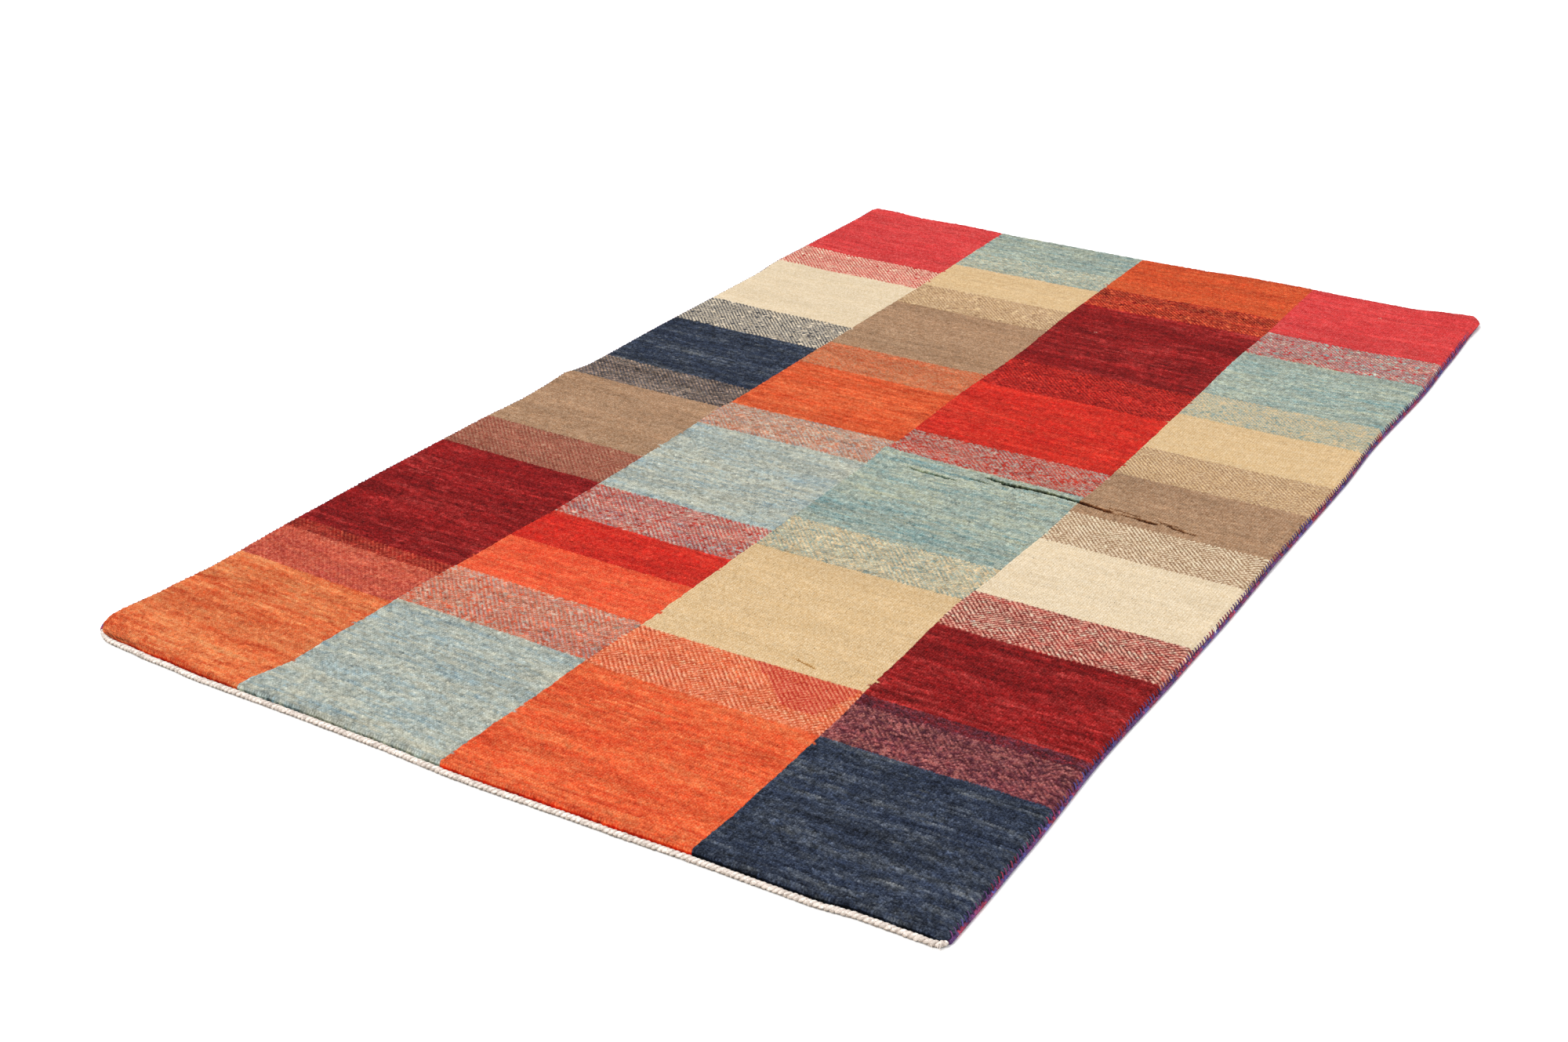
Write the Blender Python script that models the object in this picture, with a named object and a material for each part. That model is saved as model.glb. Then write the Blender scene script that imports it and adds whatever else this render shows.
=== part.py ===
"""Hand-knotted wool rug lying flat on the floor.

The woven field (cotton foundation with its clipped wool pile) is one slab.
Overcast wool selvedges run along its two long sides, and twisted cotton
cords finish its two ends. The rug was stored folded in four, so a low ridge
crosses its middle and a fainter one runs lengthwise.

Metres, +Z up. X runs across the rug, Y along it with the near end at -Y.
The origin lies on the floor at the centre of the rug's box.
"""

import math

import bmesh
import bpy
import numpy as np

# Driving dimensions in metres
WIDTH = 0.8615
LENGTH = 1.459
THICKNESS = 0.0095
SELVEDGE_DIAMETER = 0.006
END_CORD_DIAMETER = 0.0055
GAP = 0.0003

# The clipped pile rounds over at its rim: how far in, and how far down
RIM_RUN = 0.004
RIM_DROP = 0.003

# Radii of the field's four corners, where the weaving draws in
CORNER_RADIUS = {
    ("near", "left"): 0.034,
    ("near", "right"): 0.006,
    ("far", "left"): 0.010,
    ("far", "right"): 0.016,
}

# A corner's drawing-in fades out over this many radii
SQUEEZE_RADII = 3.4

# Wander of each edge: millimetres along the edge, millimetres outward.
# The long sides are measured from the near end, the short ones from the left.
LEFT_SIDE = (
    (0, 4), (50, 4), (100, 0), (160, -3), (280, 1), (400, 3), (560, 2), (640, -1),
    (715, -1), (770, -4), (900, -2), (1120, -3), (1200, 2), (1260, 1), (1400, 0),
    (1459, 2),
)
RIGHT_SIDE = (
    (0, 2), (60, 2), (140, 1), (300, -3), (460, 0), (560, 1), (700, 0), (900, 1),
    (1020, -2), (1200, 2), (1300, 0), (1459, -4),
)
NEAR_END = (
    (0, -8), (30, -7), (90, -4), (150, -1), (240, -1), (330, 0), (440, 4), (570, 2),
    (660, 0), (750, 0), (800, -4), (862, -4),
)
FAR_END = (
    (0, 7), (30, 7), (90, 0), (150, 2), (240, -3), (400, -4), (500, -3), (560, 3),
    (620, 3), (700, -1), (780, -2), (815, 5), (862, 8),
)

# Crest of the cross fold: millimetres from the left side, millimetres past
# mid-length towards the far end, millimetres of lift
CROSS_FOLD = (
    (0, -14, 4.0), (120, -12, 3.2), (280, -9, 2.6), (425, -10, 4.8), (540, -17, 2.8),
    (650, -21, 2.4), (770, -24, 2.2), (862, -27, 1.4),
)
FOLD_NEAR_RUN = 0.085
FOLD_FAR_RUN = 0.055

# Crest of the lengthwise fold, as a fraction of the width and its lift
LONG_FOLD_AT = 0.48
LONG_FOLD_LIFT = 0.0012
LONG_FOLD_RUN = 0.040

# Grid of the field: how many even steps lie between the folds and the rims
STEPS_ACROSS = 9
STEPS_ALONG = 13
CORNER_STEPS = 6

# Rows and columns of that grid beside the crests, in runs of the fold
ROWS_BEFORE_CREST = (1.0, 0.66, 0.36, 0.14)
ROWS_PAST_CREST = (0.17, 0.42, 0.7, 1.0)
COLUMNS_AT_LONG_FOLD = (-1.0, -0.5, 0.0, 0.5, 1.0)

# Share of the rim's run where the grid has a column, to round it over
RIM_COLUMN = 0.3

# Where one cord gives way to the next, in outline points past each corner
NEAR_LEFT_CHANGE = -3
NEAR_RIGHT_CHANGE = 2
FAR_RIGHT_CHANGE = -1
FAR_LEFT_CHANGE = 1

# Passes that settle a grid point whose two edges depend on its place
SETTLING_PASSES = 3

MM = 0.001


def smooth_table(rows, where, column=1):
    """Read a table of millimetres at a place in metres, easing between its rows."""
    place = where / MM
    if place <= rows[0][0]:
        return rows[0][column] * MM
    for low, high in zip(rows, rows[1:]):
        if place <= high[0]:
            share = (place - low[0]) / (high[0] - low[0])
            ease = share * share * (3 - 2 * share)
            return (low[column] + (high[column] - low[column]) * ease) * MM
    return rows[-1][column] * MM


def reach(rows):
    """How far an edge bulges past its mean line."""
    return max(row[1] for row in rows) * MM


# The box of the whole rug is centred on the origin, so its mean lines are not
LEFT_LINE = -WIDTH / 2 + (reach(LEFT_SIDE) - reach(RIGHT_SIDE)) / 2
NEAR_LINE = -LENGTH / 2 + (reach(NEAR_END) - reach(FAR_END)) / 2
RIGHT_LINE = LEFT_LINE + WIDTH
FAR_LINE = NEAR_LINE + LENGTH

# The field stops short of the outer lines by the cords and their gaps
SIDE_INSET = SELVEDGE_DIAMETER + GAP
END_INSET = END_CORD_DIAMETER + GAP


def field_left(y):
    return LEFT_LINE - smooth_table(LEFT_SIDE, y - NEAR_LINE) + SIDE_INSET


def field_right(y):
    return RIGHT_LINE + smooth_table(RIGHT_SIDE, y - NEAR_LINE) - SIDE_INSET


def field_near(x):
    return NEAR_LINE - smooth_table(NEAR_END, x - LEFT_LINE) + END_INSET


def field_far(x):
    return FAR_LINE + smooth_table(FAR_END, x - LEFT_LINE) - END_INSET


def corner_shift(x, y):
    """Sideways shift of a point of the field where a corner is rounded."""
    shift = 0.0
    for (end, side), radius in CORNER_RADIUS.items():
        depth = y - field_near(x) if end == "near" else field_far(x) - y
        across = x - field_left(y) if side == "left" else field_right(y) - x
        if depth >= radius:
            continue
        short = radius - max(0.0, depth)
        inward = radius - math.sqrt(radius ** 2 - short ** 2)
        fade = max(0.0, 1.0 - across / (SQUEEZE_RADII * radius))
        shift += inward * fade ** 2 * (1 if side == "left" else -1)
    return shift


def fold_line(x):
    """Where the cross fold's crest lies at a place across the rug."""
    middle = (NEAR_LINE + FAR_LINE) / 2
    return middle + smooth_table(CROSS_FOLD, x - LEFT_LINE)


def crest(distance, run):
    """Profile of a pressed fold: 1 at its crest, easing to 0 at its foot."""
    return max(0.0, 1.0 - abs(distance) / run) ** 2


def lift(x, y):
    """How far the folds raise the rug off the floor."""
    past = y - fold_line(x)
    run = FOLD_NEAR_RUN if past < 0 else FOLD_FAR_RUN
    across = smooth_table(CROSS_FOLD, x - LEFT_LINE, 2) * crest(past, run)
    from_long_fold = x - (LEFT_LINE + LONG_FOLD_AT * WIDTH)
    ends = min(y - NEAR_LINE, FAR_LINE - y) / LENGTH
    lengthwise = LONG_FOLD_LIFT * crest(from_long_fold, LONG_FOLD_RUN) * min(1.0, 6 * ends)
    return max(across, lengthwise)


def spread(low, high, steps):
    """Evenly spaced places from low up to, but without, high."""
    return [low + (high - low) * k / steps for k in range(steps)]


def columns_across():
    """Shares of the width where the field's grid has a column."""
    rim = [0.0, RIM_COLUMN * RIM_RUN / WIDTH, RIM_RUN / WIDTH]
    fold = [LONG_FOLD_AT + k * LONG_FOLD_RUN / WIDTH for k in COLUMNS_AT_LONG_FOLD]
    left = spread(rim[-1], fold[0], STEPS_ACROSS)
    right = spread(fold[-1], 1.0 - rim[-1], STEPS_ACROSS)
    return rim[:-1] + left + fold[:-1] + right + [1.0 - place for place in reversed(rim)]


def rows_along():
    """Shares of the length where the field's grid has a row."""
    def corner_rows(radius):
        turns = [math.pi / 2 * k / CORNER_STEPS for k in range(CORNER_STEPS + 1)]
        return [radius * (1 - math.cos(turn)) / LENGTH for turn in turns]

    near = corner_rows(CORNER_RADIUS[("near", "left")])
    far = [1.0 - place for place in reversed(corner_rows(CORNER_RADIUS[("far", "right")]))]
    before = [0.5 - k * FOLD_NEAR_RUN / LENGTH for k in ROWS_BEFORE_CREST]
    past = [0.5 + k * FOLD_FAR_RUN / LENGTH for k in ROWS_PAST_CREST]
    fold = before + [0.5] + past
    first = spread(near[-1], fold[0], STEPS_ALONG)
    second = spread(fold[-1], far[0], STEPS_ALONG)
    return near[:-1] + first + fold[:-1] + second + far


def field_point(across, along):
    """Place in the plan of a grid point, from its shares of width and length."""
    # The ends and sides depend on each other's place, and a few passes settle them
    x = LEFT_LINE + across * WIDTH
    y = NEAR_LINE + along * LENGTH
    for _ in range(SETTLING_PASSES):
        middle = 1.0 - abs(2.0 * along - 1.0)
        bend = fold_line(x) - (field_near(x) + field_far(x)) / 2
        y = field_near(x) + along * (field_far(x) - field_near(x)) + bend * middle ** 2
        x = field_left(y) + across * (field_right(y) - field_left(y))
    return x + corner_shift(x, y), y


def rim_height(x, y):
    """Height of the pile's top above its foot, lower where the rim rounds over."""
    inside = min(
        x - field_left(y), field_right(y) - x, y - field_near(x), field_far(x) - y,
    )
    left = max(0.0, 1.0 - max(0.0, inside) / RIM_RUN)
    return THICKNESS - RIM_DROP * left ** 2


def wool(name, colour, roughness):
    """A plain textile material."""
    material = bpy.data.materials.new(name)
    material.use_nodes = True
    shader = material.node_tree.nodes["Principled BSDF"]
    shader.inputs["Base Color"].default_value = (*colour, 1.0)
    shader.inputs["Roughness"].default_value = roughness
    shader.inputs["Metallic"].default_value = 0.0
    return material


def make_field(collection, material):
    """The slab of foundation and pile: a laid-out grid, extruded to its underside."""
    across, along = columns_across(), rows_along()
    mesh = bpy.data.meshes.new("field")
    form = bmesh.new()
    bmesh.ops.create_grid(
        form, x_segments=len(across) - 1, y_segments=len(along) - 1, size=0.5,
    )
    for point in form.verts:
        column = round((point.co.x + 0.5) * (len(across) - 1))
        row = round((point.co.y + 0.5) * (len(along) - 1))
        x, y = field_point(across[column], along[row])
        on_rim = column in (0, len(across) - 1) or row in (0, len(along) - 1)
        height = THICKNESS - RIM_DROP if on_rim else rim_height(x, y)
        point.co = (x, y, lift(x, y) + height)
    under = bmesh.ops.extrude_face_region(form, geom=form.faces[:])
    for point in under["geom"]:
        if isinstance(point, bmesh.types.BMVert):
            point.co.z = lift(point.co.x, point.co.y)
    bmesh.ops.recalc_face_normals(form, faces=form.faces[:])
    bmesh.ops.triangulate(form, faces=form.faces[:])
    form.to_mesh(mesh)
    form.free()
    mesh.materials.append(material)
    field = bpy.data.objects.new("field", mesh)
    collection.objects.link(field)


def field_outline():
    """The field's edge in the plan, anticlockwise, and where its four sides start."""
    across, along = columns_across(), rows_along()
    sides = (
        [(share, 0.0) for share in across[:-1]],
        [(1.0, share) for share in along[:-1]],
        [(share, 1.0) for share in reversed(across[1:])],
        [(0.0, share) for share in reversed(along[1:])],
    )
    starts = np.cumsum([0] + [len(side) for side in sides])
    outline = [np.array(field_point(*place)) for side in sides for place in side]
    return outline, starts


def cord_route(outline, first, last, radius):
    """Points of a cord that lies against the outline between two of its points."""
    count = len(outline)
    points = []
    half_turns = []
    for k in range(first, last + 1):
        here = outline[k % count]
        before = here - outline[(k - 1) % count]
        after = outline[(k + 1) % count] - here
        before = before / np.linalg.norm(before)
        after = after / np.linalg.norm(after)
        tangent = before + after
        tangent = tangent / np.linalg.norm(tangent)
        outward = np.array((tangent[1], -tangent[0]))
        # A mitre keeps both of the neighbouring stretches clear of the field
        half_turn = math.acos(min(1.0, float(np.dot(tangent, after))))
        x, y = here + outward * (radius + GAP) / math.cos(half_turn)
        points.append(np.array((x, y, lift(here[0], here[1]) + radius)))
        half_turns.append(half_turn)
    # Each end stops short of the next cord, whose end face is turned from it
    for end, inner in ((0, 1), (-1, -2)):
        step = points[inner] - points[end]
        retreat = GAP + radius * math.tan(half_turns[end])
        points[end] = points[end] + step / np.linalg.norm(step) * retreat
    return points


def make_cord(collection, name, points, radius, material):
    """A cord along its route, as a bevelled curve with filled ends."""
    curve = bpy.data.curves.new(name, "CURVE")
    curve.dimensions = "3D"
    curve.bevel_depth = radius
    curve.bevel_resolution = 2
    curve.use_fill_caps = True
    spline = curve.splines.new("POLY")
    spline.points.add(len(points) - 1)
    for target, point in zip(spline.points, points):
        target.co = (*point, 1.0)
    curve.materials.append(material)
    collection.objects.link(bpy.data.objects.new(name, curve))


def main():
    for thing in list(bpy.data.objects):
        bpy.data.objects.remove(thing, do_unlink=True)
    collection = bpy.data.collections.new("rug")
    bpy.context.scene.collection.children.link(collection)

    pile = wool("wool_pile", (0.46, 0.13, 0.07), 0.9)
    purple = wool("overcast_wool", (0.10, 0.04, 0.12), 0.85)
    cotton = wool("white_cotton", (0.78, 0.74, 0.68), 0.8)
    make_field(collection, pile)

    # A cord of one kind ends where the next begins, partway round each corner.
    # The near cord reaches furthest, round the near left corner's large radius.
    outline, starts = field_outline()
    turns = [
        starts[0] + NEAR_LEFT_CHANGE,
        starts[1] + NEAR_RIGHT_CHANGE,
        starts[2] + FAR_RIGHT_CHANGE,
        starts[3] + FAR_LEFT_CHANGE,
        starts[4] + NEAR_LEFT_CHANGE,
    ]
    cords = (
        ("end_cord_near", END_CORD_DIAMETER / 2, cotton),
        ("selvedge_right", SELVEDGE_DIAMETER / 2, purple),
        ("end_cord_far", END_CORD_DIAMETER / 2, cotton),
        ("selvedge_left", SELVEDGE_DIAMETER / 2, purple),
    )
    for (name, radius, material), first, last in zip(cords, turns, turns[1:]):
        route = cord_route(outline, first, last, radius)
        make_cord(collection, name, route, radius, material)


main()
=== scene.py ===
"""Looks of a hand-knotted wool rug with a gabbeh's plain blocks of colour.

The pile is four pieces, one for each column of blocks, with one tuft for each
knot. They stand on a thin woven foundation. Wrapped wool selvedges run along the
long sides and twisted white cotton along the ends.

Metres, +Z up. X runs across the rug, Y along it with the near end at -Y. The
dimensions and tables down to LONG_FOLD_RUN repeat those of the solid part.
"""

import math

import bpy
import numpy as np
from mathutils import Matrix, Vector


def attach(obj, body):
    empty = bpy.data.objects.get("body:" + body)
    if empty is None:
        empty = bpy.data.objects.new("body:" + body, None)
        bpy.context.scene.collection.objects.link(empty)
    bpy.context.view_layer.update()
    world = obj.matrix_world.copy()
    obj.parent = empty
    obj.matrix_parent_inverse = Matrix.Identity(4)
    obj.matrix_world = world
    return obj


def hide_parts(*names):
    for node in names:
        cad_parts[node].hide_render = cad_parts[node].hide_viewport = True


MM = 0.001

WIDTH = 0.8615
LENGTH = 1.459
THICKNESS = 0.0095
SELVEDGE_DIAMETER = 0.006
END_CORD_DIAMETER = 0.0055
GAP = 0.0003
RIM_RUN = 0.004
RIM_DROP = 0.003
CORNER_RADIUS = {
    ("near", "left"): 0.034,
    ("near", "right"): 0.006,
    ("far", "left"): 0.010,
    ("far", "right"): 0.016,
}
SQUEEZE_RADII = 3.4

# Wander of each edge: millimetres along the edge, millimetres outward
LEFT_SIDE = (
    (0, 4), (50, 4), (100, 0), (160, -3), (280, 1), (400, 3), (560, 2), (640, -1),
    (715, -1), (770, -4), (900, -2), (1120, -3), (1200, 2), (1260, 1), (1400, 0),
    (1459, 2),
)
RIGHT_SIDE = (
    (0, 2), (60, 2), (140, 1), (300, -3), (460, 0), (560, 1), (700, 0), (900, 1),
    (1020, -2), (1200, 2), (1300, 0), (1459, -4),
)
NEAR_END = (
    (0, -8), (30, -7), (90, -4), (150, -1), (240, -1), (330, 0), (440, 4), (570, 2),
    (660, 0), (750, 0), (800, -4), (862, -4),
)
FAR_END = (
    (0, 7), (30, 7), (90, 0), (150, 2), (240, -3), (400, -4), (500, -3), (560, 3),
    (620, 3), (700, -1), (780, -2), (815, 5), (862, 8),
)

# Crest of the cross fold: millimetres from the left side, past mid-length, and up
CROSS_FOLD = (
    (0, -14, 4.0), (120, -12, 3.2), (280, -9, 2.6), (425, -10, 4.8), (540, -17, 2.8),
    (650, -21, 2.4), (770, -24, 2.2), (862, -27, 1.4),
)
FOLD_NEAR_RUN = 0.085
FOLD_FAR_RUN = 0.055
LONG_FOLD_AT = 0.48
LONG_FOLD_LIFT = 0.0012
LONG_FOLD_RUN = 0.040

# Where the pile parts along the fold: millimetres from the left side, past the
# middle of the frame, and deep
SLITS = (
    ((462, -36.5, 0), (468, -37, 0.8), (482, -38.5, 1.8), (505, -39.5, 1.8), (528, -40, 0)),
    (
        (542, -19.8, 0), (548, -19.2, 1.8), (560, -21.1, 3.6), (568, -22.8, 4.4),
        (577, -22.8, 4.6), (594, -21.6, 4.6), (602, -20.3, 4.4), (619, -20.1, 4.6),
        (644, -22.3, 4.4), (652, -22.4, 3.8), (664, -23.9, 3.2), (673, -25.8, 3.0),
        (682, -26.2, 2.4), (693, -26.4, 0),
    ),
    ((524, -29, 0), (545, -30, 1.4), (566, -31, 0)),
    ((679, -19.3, 0), (684, -20, 1.2), (696, -20.5, 0.9), (713, -21.9, 1.0), (726, -21.8, 0)),
    ((680, -31, 0), (688, -29.8, 0.7), (696, -30, 0.7), (700, -30.2, 0)),
    (
        (692, -27.4, 0), (700, -27.2, 0.8), (715, -27.9, 1.6), (725, -28.7, 2.2),
        (736, -29, 2.2), (741, -28.1, 0),
    ),
    (
        (743, -27.2, 0), (749, -27.6, 1.0), (758, -29.6, 1.7), (765, -31.1, 1.5),
        (770, -31.8, 0.5), (777, -32.6, 1.1), (781, -33.2, 0),
    ),
    (
        (733, -21.4, 0), (738, -22.5, 1.0), (746, -23.8, 0.5), (752, -24.1, 0.7),
        (757, -24.9, 0.9), (761, -25.6, 0),
    ),
    ((564, -438, 0), (575, -440, 0.9), (592, -444, 0.9), (600, -446, 0)),
)
DEEPEST_SLIT = 4.6 * MM
SLIT_SIDES = 0.4
SLIT_FADE = 5 * MM
SLIT_JOIN_ROWS = 2.5
SLIT_SPREAD = 0.26
FAR_LIP = 0.17
NEAR_LIP = 0.09

# The tent where the folds cross: millimetres from the left side, past the middle
# of the frame, up, and its radii across and along
TENT = (429, -11, 1.5, 8, 5)

# How far the pile leans out over each edge, and further at some corners: side, end,
# millimetres and its spread, of which the side has a part
FLARE = {"left": 1.4, "right": 4.2, "near": 0.6, "far": 2.2}
LEANS = (("left", "near", 4.5, 45), ("right", "far", 6, 60))
SIDE_LEAN = 0.7
LEAN_FADE = 6 * MM
FOOT_LEAN_LIMIT = 1.4 * MM

# How much more the pile is worn down at the right rim than in the solid part
RIGHT_WEAR = 0.0012

# The knots: rows along the rug, and knots across each column of blocks
ROWS = 528
BLOCK_KNOTS = (79, 80, 87, 80)
KNOTS_ACROSS = sum(BLOCK_KNOTS)
KNOT_WIDTH = WIDTH / KNOTS_ACROSS
KNOT_LENGTH = LENGTH / ROWS
BLOCK_STARTS = tuple(int(k) for k in np.cumsum((0,) + BLOCK_KNOTS))

# Lines between the columns of blocks: millimetres from the near end, and from
# the left side
BLOCK_LINES = (
    ((0, 188), (60, 199), (210, 202), (340, 208), (440, 213), (1230, 213), (1459, 209)),
    (
        (0, 412), (165, 416), (300, 421.5), (760, 423), (910, 420), (1056, 423),
        (1202, 418), (1459, 416),
    ),
    (
        (0, 650), (63, 652), (209, 651), (311, 647), (440, 643), (530, 648),
        (650, 651), (840, 652), (1012, 650), (1173, 647), (1275, 649), (1407, 647),
    ),
)

# Dyed wools: the usual screen colour, those it drifts to where the dye took deeper and
# where it took paler, how strongly it drifts, how strongly dashes of the deep shade show
# (below 0, of the pale one), and how much its lightness varies by knot and in patches
WOOLS = {
    "marigold": ((222, 121, 74), (204, 92, 52), (233, 148, 96), 1.0, 1.5, 0.045, 0.05),
    "orange": ((227, 102, 60), (214, 80, 46), (236, 128, 80), 0.85, -1.5, 0.045, 0.05),
    "terracotta": ((197, 93, 71), (178, 74, 66), (212, 112, 86), 0.6, 0, 0.045, 0.05),
    "tangerine": ((216, 97, 56), (196, 76, 42), (230, 124, 78), 0.8, 1.0, 0.045, 0.07),
    "rust": ((206, 87, 48), (190, 70, 38), (218, 108, 64), 0.6, 0, 0.06, 0.05),
    "vermilion": ((225, 91, 58), (210, 70, 44), (235, 114, 74), 0.75, -1.5, 0.045, 0.05),
    "red": ((205, 51, 38), (182, 36, 31), (219, 71, 52), 0.6, -2.0, 0.06, 0.07),
    "rose": ((213, 70, 70), (198, 55, 58), (224, 90, 86), 0.5, -2.0, 0.04, 0.06),
    "dark_red": ((137, 27, 27), (119, 21, 23), (170, 54, 51), 0.8, -2.5, 0.09, 0.1),
    "coral": ((246, 147, 110), (240, 130, 92), (249, 166, 132), 0.6, 0, 0.045, 0.05),
    "pink": ((246, 180, 154), (238, 164, 138), (248, 196, 172), 0.6, 0, 0.045, 0.05),
    "plum": ((92, 46, 58), (70, 40, 56), (116, 52, 60), 0.6, 0, 0.14, 0.05),
    "mauve": ((168, 96, 90), (148, 70, 76), (182, 116, 100), 0.6, 0, 0.08, 0.05),
    "cream": ((230, 211, 181), (224, 203, 170), (236, 219, 192), 0.3, 0, 0.01, 0.02),
    "beige": ((220, 190, 147), (213, 181, 134), (227, 200, 161), 0.35, 0, 0.015, 0.02),
    "taupe": ((172, 138, 109), (160, 126, 97), (184, 152, 122), 0.5, 0, 0.045, 0.05),
    "navy": ((53, 61, 77), (38, 46, 64), (90, 94, 100), 0.7, -2.5, 0.16, 0.13),
    "pale_blue": ((177, 181, 170), (140, 163, 172), (200, 194, 172), 0.55, 1.8, 0.08, 0.05),
    "sea_blue": ((162, 172, 161), (118, 152, 154), (190, 190, 162), 0.6, 2.0, 0.08, 0.05),
}

# The blocks of each column from the near end: the last row and the wool. In a band
# of checks there follow the wool that alternates with it knot by knot, the first
# one's share, how far the two stay apart, and how ragged the alternation is.
BLOCKS = (
    (
        (67, "marigold"),
        (91, "terracotta", "dark_red", 0.97, 0.50, 0.3),
        (98, "dark_red", "marigold", 0.74, 0.55, 0.0),
        (180, "dark_red"),
        (208, "taupe", "dark_red", 0.65, 0.50, 0.02),
        (263, "taupe"),
        (287, "navy", "taupe", 0.54, 0.80, 0.0),
        (341, "navy"),
        (371, "cream", "navy", 0.52, 1.10, 0.07),
        (432, "cream"),
        (457, "rose", "cream", 0.54, 1.30, 0.02),
        (528, "rose"),
    ),
    (
        (70, "pale_blue"),
        (99, "pale_blue", "vermilion", 0.47, 0.80, 0.1),
        (128, "vermilion"),
        (152, "red"),
        (179, "pale_blue", "red", 0.55, 0.85, 0.1),
        (247, "pale_blue"),
        (271, "pale_blue", "tangerine", 0.64, 0.60, 0.2),
        (325, "tangerine"),
        (352, "tangerine", "taupe", 0.54, 0.60, 0.2),
        (413, "taupe"),
        (440, "beige", "taupe", 0.52, 1.15, 0.1),
        (473, "beige"),
        (495, "sea_blue", "beige", 0.81, 0.80, 0.12),
        (528, "sea_blue"),
    ),
    (
        (69, "orange"),
        (98, "rust", "coral", 0.42, 1.55, 0.0),
        (168, "beige"),
        (194, "sea_blue", "beige", 0.55, 1.10, 0.12),
        (262, "sea_blue"),
        (286, "red", "sea_blue", 0.53, 0.85, 0.22),
        (345, "red"),
        (376, "red", "dark_red", 0.48, 1.30, 0.1),
        (455, "dark_red"),
        (480, "dark_red", "rust", 0.53, 1.20, 0.1),
        (528, "rust"),
    ),
    (
        (69, "navy"),
        (91, "mauve", "plum", 0.46, 1.00, 0.4),
        (97, "plum", "dark_red", 0.75, 0.60, 0.6),
        (149, "dark_red"),
        (176, "dark_red", "pink", 0.60, 1.35, 0.0),
        (224, "cream"),
        (249, "cream", "taupe", 0.40, 1.75, 0.0),
        (290, "taupe"),
        (318, "beige", "taupe", 0.47, 1.40, 0.0),
        (356, "beige"),
        (382, "beige", "sea_blue", 0.44, 1.10, 0.2),
        (435, "sea_blue"),
        (463, "sea_blue", "rose", 0.58, 1.20, 0.12),
        (528, "rose"),
    ),
)

# Where two wools alternate their fibres mingle: how much of their difference in dye,
# beside that in lightness, is left
DYE_CONTRAST = 0.7
LUMINANCE = (0.2126, 0.7152, 0.0722)

# How far a wool may drift to its deep or pale shade
DRIFT_LIMITS = (-1.5, 1.3)

# Noise of the dye in streaks along the rows, in clouds, and of lightness over whole
# blocks: cells of this many rows and knots, and how strong
STREAK_CELLS = ((1.02, 6, 0.6), (1.02, 16, 0.55), (2.1, 26, 0.4), (5.3, 90, 0.3))
CLOUD_CELLS = ((11, 26, 0.3), (3.5, 16, 0.2))
OTHER_CELLS = ((1.02, 9, 0.5),)
TONE_CELLS = ((1.02, 5, 0.8), (1.02, 20, 0.7), (3.1, 90, 0.5), (8.3, 120, 0.6))

# Scatter of the drift from knot to knot, and in the second wool of a band, which
# has this share of the clouds
DRIFT_SCATTER = 0.3
OTHER_SCATTER = 0.4
OTHER_CLOUD = 0.6

# Short dashes of the deep shade along a row: their cells, and above what they start
DASH_CELLS = ((1.02, 8, 1.0),)
DASH_START = 0.55

# The share of rows whose blocks meet at the line, one knot past it and one before
INTERLOCK = (0.97, 0.02, 0.01)

# Single undyed knots, by row and knot across
NEPS = ((423, 179), (507, 286))
NEP_COLOUR = (232, 176, 156)

# The redder patch in the third column's first band: its rows, then where its
# left and right sides start at the bottom row and at the top one, in knots, and
# its wools with how light they are
PATCH_ROWS = (78, 98)
PATCH_LEFT = (69, 46)
PATCH_RIGHT = (80, 87)
PATCH_WOOLS = (("red", 0.92), ("coral", 0.94))

# The seeds of the colours and of the pile's shape
COLOUR_SEED = 11
PILE_SEED = 23

# The darkest and lightest that a knot gets, and how much lighter the room's light
# shows a colour than it is
COLOUR_LIMITS = (8, 250)
BRIGHTNESS = 1.30

# Finishes: roughness, sheen, the fibres' scale and relief, and the tufts' relief
FINISHES = {
    "pile_wool": (0.95, 0.02, 600.0, 0.0009, 0.0006),
    "back_wool": (0.95, 0.02, 900.0, 0.0008),
    "wrap_wool": (0.9, 0.03, 1500.0, 0.0005),
    "cotton": (0.9, 0.03, 1500.0, 0.0005),
}

# Wool's low gloss, and how its colour deepens by gamma in the fibres. The last two paint
# shade by gamma between the tufts and at their foot, where it is partly the roots' deeper
# colour and partly painted shade, and near to black in the slits, and a painted highlight
# on the tufts' tips
WOOL_SPECULAR = 0.04
SHEEN_ROUGHNESS = 0.6
FIBRE_DETAIL = 3.0
FIBRE_ROUGHNESS = 0.65
FIBRE_STRENGTH = 0.6
FIBRE_RANGE = (0.37, 0.63)
FIBRE_GAMMA = (1.24, 0.82)
FIBRE_STRETCH = (0.8, 1.0, 1.0)
FOOT_SHADE_GAMMA = (6.0, 1.1)
TIP_HIGHLIGHT_GAMMA = -0.16

# Heights above the floor under a point that the folds don't lift
FOUNDATION_TOP = 0.0018
PILE_FOOT = 0.0019

# The pile's face: low waves with cells of this many rows and knots, calm at the rim,
# the dip between tufts and the least of it at the rim, and the scatter of the knots'
# corners and of the tips
WAVES = ((9, 12, 0.00022), (3.1, 4.3, 0.00012))
CALM_RIM = 0.008
TUFT_DIP = 0.0007
LEAST_DIP = 0.3
CORNER_SCATTER = 0.00024
TIP_SCATTER = (0.00028, 0.00028, 0.00012)

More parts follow.
